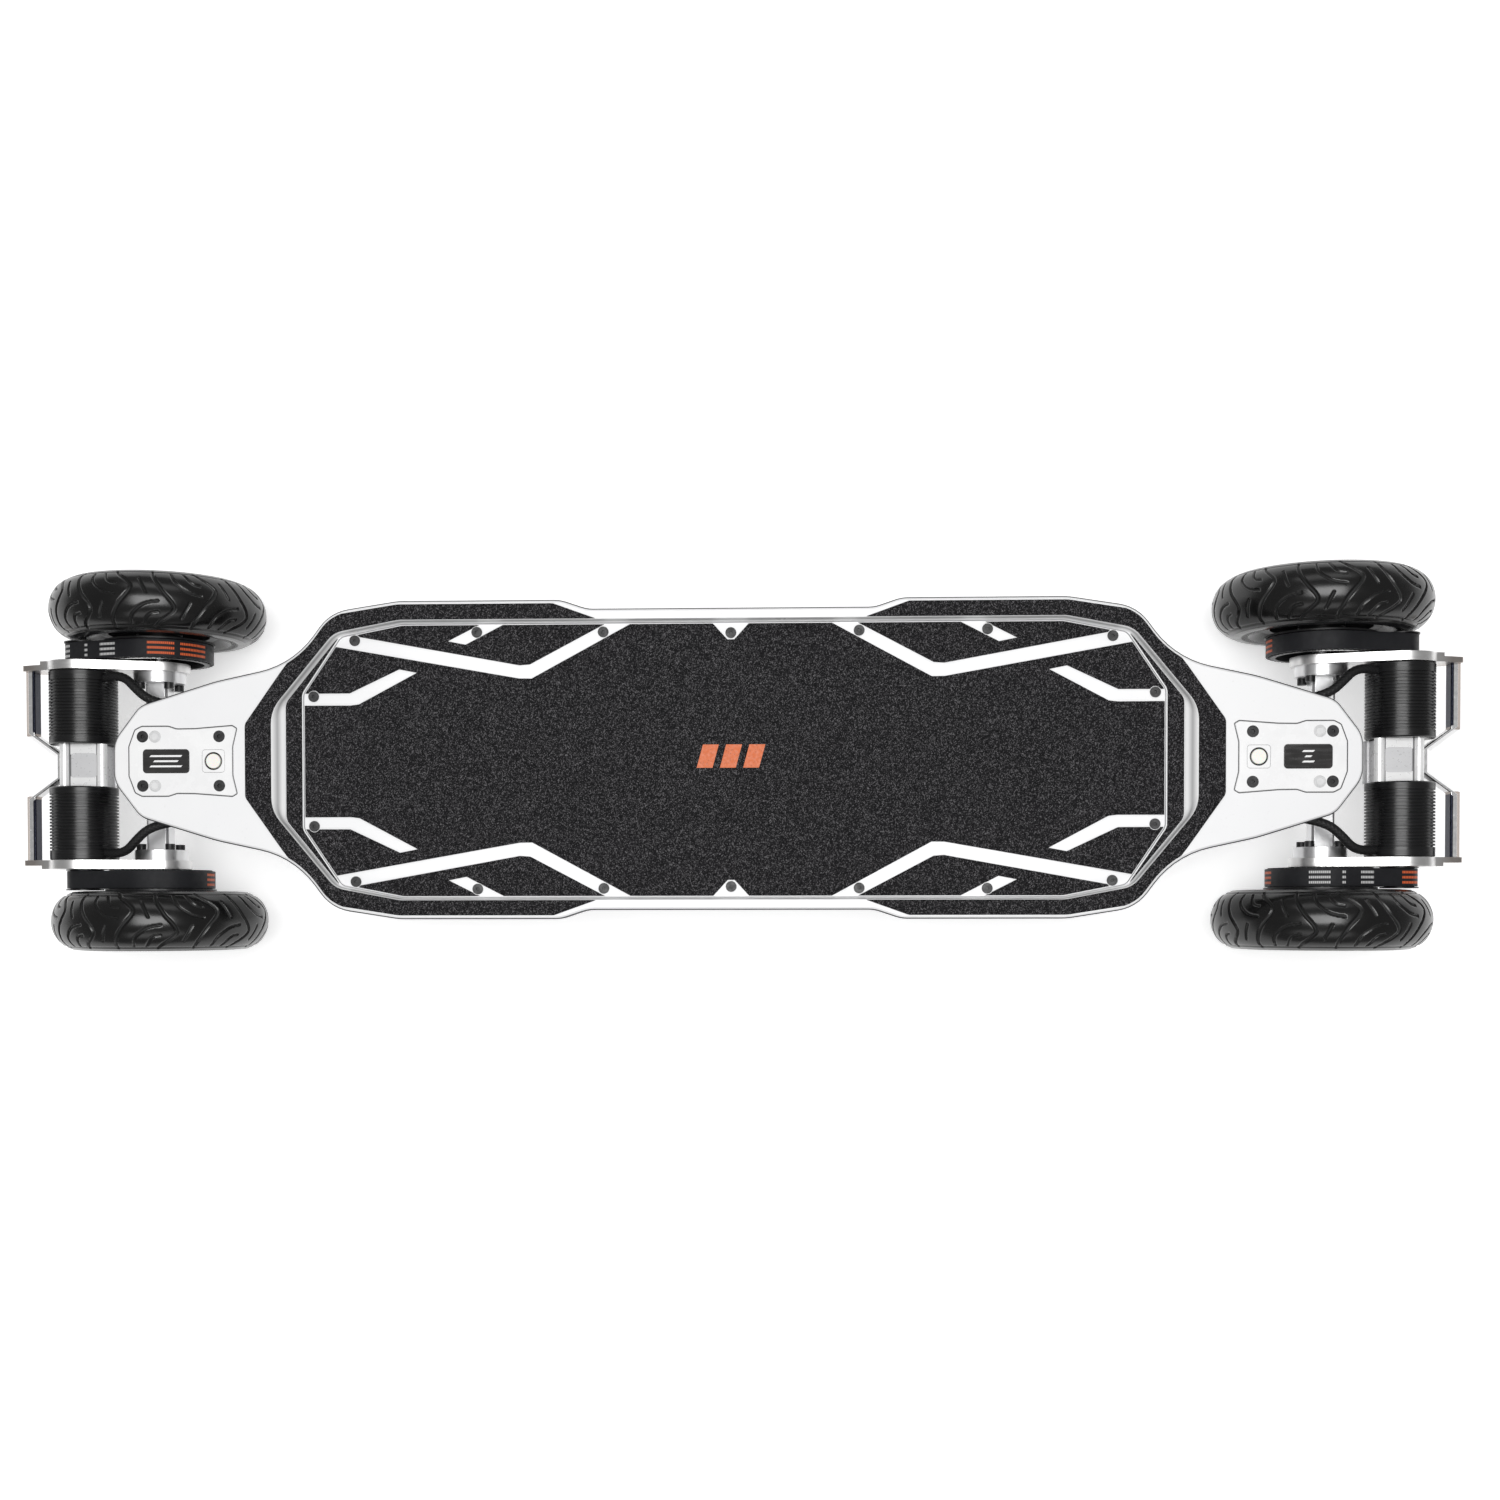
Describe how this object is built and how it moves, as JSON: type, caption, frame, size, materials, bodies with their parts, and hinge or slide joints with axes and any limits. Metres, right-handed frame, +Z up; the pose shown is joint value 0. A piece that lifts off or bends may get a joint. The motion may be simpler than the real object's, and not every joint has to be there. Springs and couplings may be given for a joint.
{
  "type": "electric skateboard",
  "caption": "All-terrain electric longboard: flat white deck with a screwed lid over its battery, tilting trucks, belt-driven air-tyred wheels.",
  "frame": {"origin": "on the floor, under the middle of the deck", "axes": "+X along the board to its front, +Y to its left, +Z up"},
  "size_m": [1.204, 0.3122, 0.178],
  "materials": {
    "shell": "satin white paint over moulded composite",
    "lid": "white powder coat",
    "grip": "coarse mineral grip",
    "rubber": "matt",
    "tyre": "moulded tread",
    "silver": "bead-blasted, clear anodised",
    "steel": "plain",
    "black_steel": "black oxide",
    "motor_black": "black anodised",
    "pulley": "hard anodised",
    "rim": "black anodised",
    "belt": "fabric-backed",
    "plate": "satin",
    "badge": "gloss black",
    "lens": "translucent",
    "cable": "braided sleeve",
    "battery": "shrink wrap",
    "board": "solder mask"
  },
  "bodies": {
    "deck": {"deck_shell": "shell", "deck_lid": "lid", "lid_gasket": "rubber", "lid_grip": "grip", "deck_grips": "grip", "lid_screws": "black_steel", "truck_bolts": "black_steel", "nose_plates": "plate", "nose_badges": "badge", "nose_plugs": "lens", "button_bezels": "plate", "battery_pack": "battery", "battery_manager": "board", "motor_controllers": "silver", "king_bolts": "steel", "front_truck_base": "silver", "front_steering_dampers": "rubber", "rear_truck_base": "silver", "rear_steering_dampers": "rubber"},
    "front_button": {"front_button": "lens"},
    "rear_button": {"rear_button": "lens"},
    "front_truck": {"front_hanger": "silver", "front_axle": "steel", "front_axle_nuts": "steel", "front_motor_plates": "silver", "front_bumper": "silver", "front_motor_bridge": "silver", "front_motors": "motor_black", "front_belts": "belt", "front_phase_cables": "cable", "front_plate_bolts": "black_steel", "front_wheel_bearings": "steel"},
    "rear_truck": {"rear_hanger": "silver", "rear_axle": "steel", "rear_axle_nuts": "steel", "rear_motor_plates": "silver", "rear_bumper": "silver", "rear_motor_bridge": "silver", "rear_motors": "motor_black", "rear_belts": "belt", "rear_phase_cables": "cable", "rear_plate_bolts": "black_steel", "rear_wheel_bearings": "steel"},
    "front_left_wheel": {"front_left_tyre": "tyre", "front_left_rim": "rim", "front_left_wheel_pulley": "pulley"},
    "front_left_pinion": {"front_left_motor_pulley": "pulley"},
    "front_right_wheel": {"front_right_tyre": "tyre", "front_right_rim": "rim", "front_right_wheel_pulley": "pulley"},
    "front_right_pinion": {"front_right_motor_pulley": "pulley"},
    "rear_left_wheel": {"rear_left_tyre": "tyre", "rear_left_rim": "rim", "rear_left_wheel_pulley": "pulley"},
    "rear_left_pinion": {"rear_left_motor_pulley": "pulley"},
    "rear_right_wheel": {"rear_right_tyre": "tyre", "rear_right_rim": "rim", "rear_right_wheel_pulley": "pulley"},
    "rear_right_pinion": {"rear_right_motor_pulley": "pulley"}
  },
  "joints": [
    {"name": "front_steer", "type": "hinge", "parent": "deck", "child": "front_truck", "pos_m": [0.48, 0, 0.1], "axis": [0.766, 0, 0.6428], "range_deg": [-15, 15], "stiffness_Nm_per_rad": 60, "deforming": ["front_steering_dampers", "front_phase_cables"]},
    {"name": "rear_steer", "type": "hinge", "parent": "deck", "child": "rear_truck", "pos_m": [-0.48, 0, 0.1], "axis": [-0.766, 0, 0.6428], "range_deg": [-15, 15], "stiffness_Nm_per_rad": 60, "deforming": ["rear_steering_dampers", "rear_phase_cables"]},
    {"name": "front_left_wheel_spin", "type": "hinge", "parent": "front_truck", "child": "front_left_wheel", "pos_m": [0.492, 0.1313, 0.089], "axis": [0, 1, 0], "continuous": true},
    {"name": "front_left_pinion_spin", "type": "hinge", "parent": "front_truck", "child": "front_left_pinion", "pos_m": [0.5535, 0.0965, 0.101], "axis": [0, 1, 0], "continuous": true},
    {"name": "front_right_wheel_spin", "type": "hinge", "parent": "front_truck", "child": "front_right_wheel", "pos_m": [0.492, -0.1313, 0.089], "axis": [0, 1, 0], "continuous": true},
    {"name": "front_right_pinion_spin", "type": "hinge", "parent": "front_truck", "child": "front_right_pinion", "pos_m": [0.5535, -0.0965, 0.101], "axis": [0, 1, 0], "continuous": true},
    {"name": "rear_left_wheel_spin", "type": "hinge", "parent": "rear_truck", "child": "rear_left_wheel", "pos_m": [-0.492, 0.1313, 0.089], "axis": [0, 1, 0], "continuous": true},
    {"name": "rear_left_pinion_spin", "type": "hinge", "parent": "rear_truck", "child": "rear_left_pinion", "pos_m": [-0.5535, 0.0965, 0.101], "axis": [0, 1, 0], "continuous": true},
    {"name": "rear_right_wheel_spin", "type": "hinge", "parent": "rear_truck", "child": "rear_right_wheel", "pos_m": [-0.492, -0.1313, 0.089], "axis": [0, 1, 0], "continuous": true},
    {"name": "rear_right_pinion_spin", "type": "hinge", "parent": "rear_truck", "child": "rear_right_pinion", "pos_m": [-0.5535, -0.0965, 0.101], "axis": [0, 1, 0], "continuous": true},
    {"name": "front_button_press", "type": "slide", "parent": "deck", "child": "front_button", "axis": [0, 0, -1], "range_m": [0, 0.0012], "stiffness_N_per_m": 150},
    {"name": "rear_button_press", "type": "slide", "parent": "deck", "child": "rear_button", "axis": [0, 0, -1], "range_m": [0, 0.0012], "stiffness_N_per_m": 150}
  ],
  "couplings": [
    {"joint": "front_left_pinion_spin", "follows": "front_left_wheel_spin", "ratio": 3.375},
    {"joint": "front_right_pinion_spin", "follows": "front_right_wheel_spin", "ratio": 3.375},
    {"joint": "rear_left_pinion_spin", "follows": "rear_left_wheel_spin", "ratio": 3.375},
    {"joint": "rear_right_pinion_spin", "follows": "rear_right_wheel_spin", "ratio": 3.375}
  ]
}
